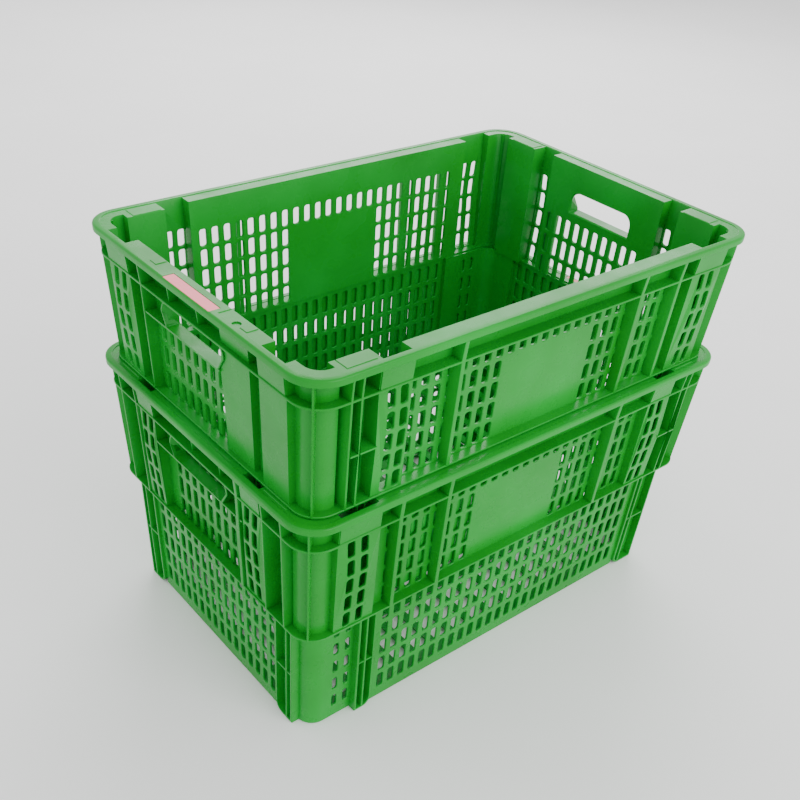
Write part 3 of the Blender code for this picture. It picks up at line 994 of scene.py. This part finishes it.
def place_crate(crate, meshes, height, turn):
    body = crate + "_crate"
    stands_for = {
        "upper_band": ("_wall", "_corner"),
        "lower_band": ("_mesh", "_leg"),
        "floor": ("_floor",),
        "label_plate": ("_label_plate",),
    }
    for name, mesh in meshes.items():
        piece = bpy.data.objects.new(f"{crate}_crate_{name}", mesh)
        piece.location.z = height * MM
        piece.rotation_euler.z = turn
        bpy.context.scene.collection.objects.link(piece)
        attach(piece, body)
        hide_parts(*cad_names(crate + "_", stands_for[name]))


def build_crates():
    green = green_plastic()
    pink = pink_label()
    meshes = {
        "upper_band": drafted(leant(upper_band())),
        "lower_band": drafted(lower_band()),
        "floor": drafted(floor()),
        "label_plate": drafted(label_plate()),
    }
    for name, mesh in meshes.items():
        mesh.materials.clear()
        mesh.materials.append(pink if name == "label_plate" else green)
    place_crate("lower", meshes, 0.0, math.pi)
    place_crate("upper", meshes, NEST_PITCH, 0.0)


# ---- stage --------------------------------------------------------------------------------------


def add_stage():
    below_feet = 0.0005
    bpy.ops.mesh.primitive_plane_add(size=30.0, location=(0, 0, -below_feet))
    ground = bpy.context.object
    ground.name = "studio_floor"
    made, nodes, links, shader = new_material("studio_floor")
    place = nodes.new("ShaderNodeTexCoord").outputs["Object"]
    shade = ramp(nodes, links, noise(nodes, links, place, scale=3.0), PALE_GREY)
    links.new(shade, shader.inputs["Base Color"])
    shader.inputs["Roughness"].default_value = 0.8
    ground.data.materials.append(made)


def add_light(name, place, target, size, power):
    light = bpy.data.lights.new(name, "AREA")
    light.size = size
    light.energy = power
    lamp = bpy.data.objects.new(name, light)
    lamp.location = place
    lamp.rotation_mode = "QUATERNION"
    lamp.rotation_quaternion = (Vector(target) - Vector(place)).to_track_quat("-Z", "Y")
    bpy.context.scene.collection.objects.link(lamp)


def add_lights():
    world = bpy.data.worlds.new("studio")
    world.use_nodes = True
    background = world.node_tree.nodes["Background"]
    background.inputs["Color"].default_value = (1, 1, 1, 1)
    background.inputs["Strength"].default_value = 1.35
    bpy.context.scene.world = world
    middle = (0, 0, 0.3)
    add_light("behind", (1.7, 1.9, 1.9), middle, size=2.2, power=60)
    add_light("front", (0.4, -2.6, 1.6), middle, size=1.8, power=45)


def add_camera():
    """The camera stands before the near corner, to the left of the long side, and looks down."""
    height_over_rim = 439.3
    place = Vector((-720.0, -771.7, height_over_rim + HEIGHT + NEST_PITCH)) * MM
    yaw = math.radians(41.76)
    pitch = math.radians(35.27)
    roll = math.radians(4.68)
    camera = bpy.data.cameras.new("camera")
    camera.sensor_width = 36.0
    camera.lens = 47.76
    camera.shift_x = 0.0122
    camera.shift_y = 0.075
    camera.clip_start = 0.01
    rig = bpy.data.objects.new("camera", camera)
    level = Matrix.Rotation(-yaw, 4, "Z")
    tilted = level @ Matrix.Rotation(math.pi / 2 - pitch, 4, "X")
    aim = tilted @ Matrix.Rotation(roll, 4, "Z")
    rig.matrix_world = Matrix.Translation(place) @ aim
    bpy.context.scene.collection.objects.link(rig)
    bpy.context.scene.camera = rig


build_crates()
add_stage()
add_lights()
add_camera()
